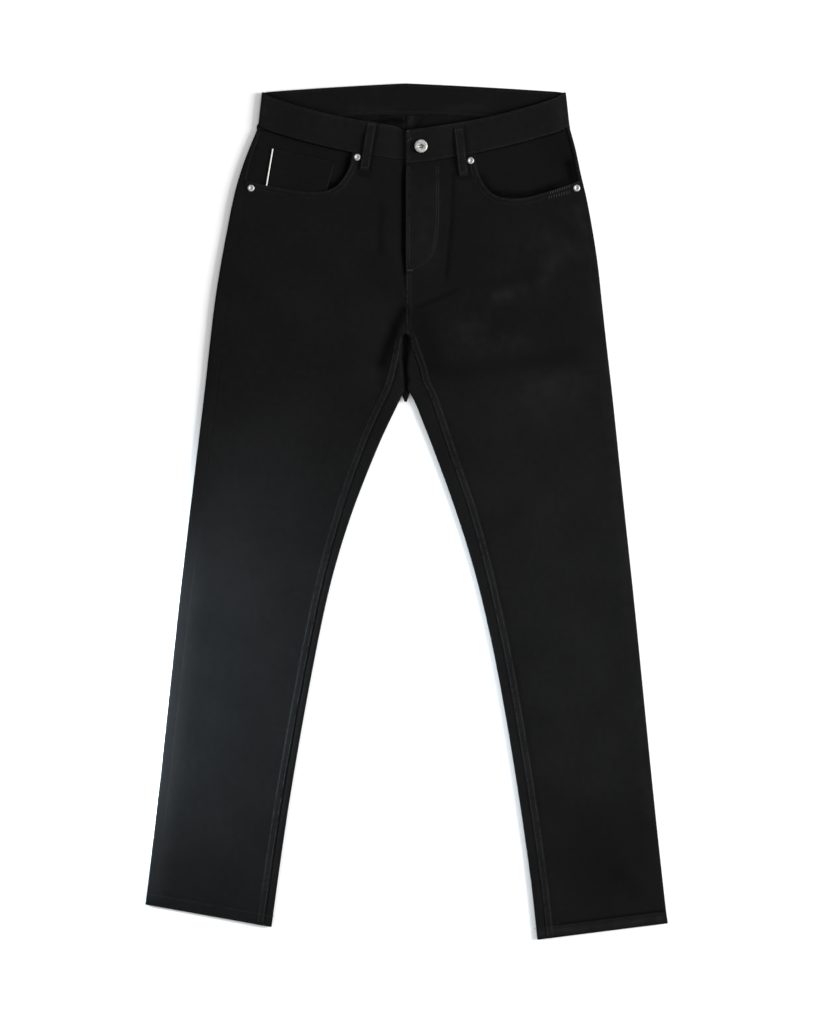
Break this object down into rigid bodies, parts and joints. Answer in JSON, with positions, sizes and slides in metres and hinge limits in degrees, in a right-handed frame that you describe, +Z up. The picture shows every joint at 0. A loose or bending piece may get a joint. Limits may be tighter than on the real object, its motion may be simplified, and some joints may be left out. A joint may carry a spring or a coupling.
{
  "type": "selvedge jeans laid flat",
  "caption": "Full-length slim five-pocket denim trousers laid flat, front up, with a buttoned waistband, fly and riveted pockets.",
  "frame": {"origin": "middle of the outline seen from above, on the surface that the garment lies on", "axes": "+X to the wearer's left, +Y towards the waist, +Z up out of the front"},
  "size_m": [0.6957, 1.1398, 0.0139],
  "materials": {
    "black_denim": "black-dyed cotton twill, matt",
    "white_selvedge": "plain woven white cotton edge",
    "black_zip_tape": "black woven polyester tape",
    "brushed_nickel": "dull nickel plate"
  },
  "bodies": {
    "root": {"front_panel_right": "black_denim", "front_panel_left": "black_denim", "back_panel_right": "black_denim", "back_panel_left": "black_denim", "yoke_right": "black_denim", "yoke_left": "black_denim", "waistband": "black_denim", "pocket_facing_right": "black_denim", "pocket_facing_left": "black_denim", "coin_pocket": "black_denim", "coin_pocket_selvedge": "white_selvedge", "back_pocket_right": "black_denim", "back_pocket_left": "black_denim", "fly_shield": "black_denim", "zip": "black_zip_tape", "zip_slider": "brushed_nickel", "belt_loop_front_right": "black_denim", "belt_loop_front_left": "black_denim", "belt_loop_back_right": "black_denim", "belt_loop_back_centre": "black_denim", "belt_loop_back_left": "black_denim", "waist_button": "brushed_nickel", "rivet_right_inner": "brushed_nickel", "rivet_right_outer": "brushed_nickel", "rivet_left_inner": "brushed_nickel", "rivet_left_outer": "brushed_nickel"}
  },
  "joints": []
}
